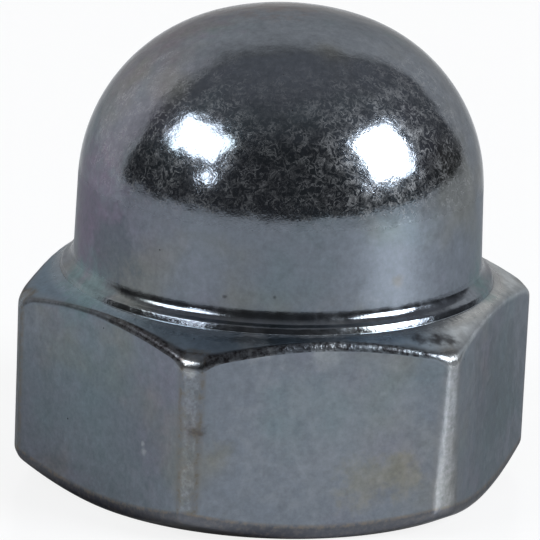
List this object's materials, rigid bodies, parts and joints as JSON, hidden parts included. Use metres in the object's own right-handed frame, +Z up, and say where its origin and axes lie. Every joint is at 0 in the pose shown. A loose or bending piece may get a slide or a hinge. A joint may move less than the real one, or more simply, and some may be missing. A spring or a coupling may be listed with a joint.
{
  "type": "cap nut",
  "caption": "Domed cap nut: a chamfered hexagon under a closed crowned dome, with a blind threaded hole from below, to finish and cover the end of a screw or stud.",
  "frame": {"origin": "centre of the flat bearing face, on the thread's axis", "axes": "+Z up the nut's axis through the dome, +X through a corner of the hexagon"},
  "size_m": [0.0194, 0.017, 0.0176],
  "materials": {
    "zinc_plated_steel": "electroplated zinc with a blue passivation, semi-bright"
  },
  "bodies": {
    "root": {"cap_nut": "zinc_plated_steel"}
  },
  "joints": []
}
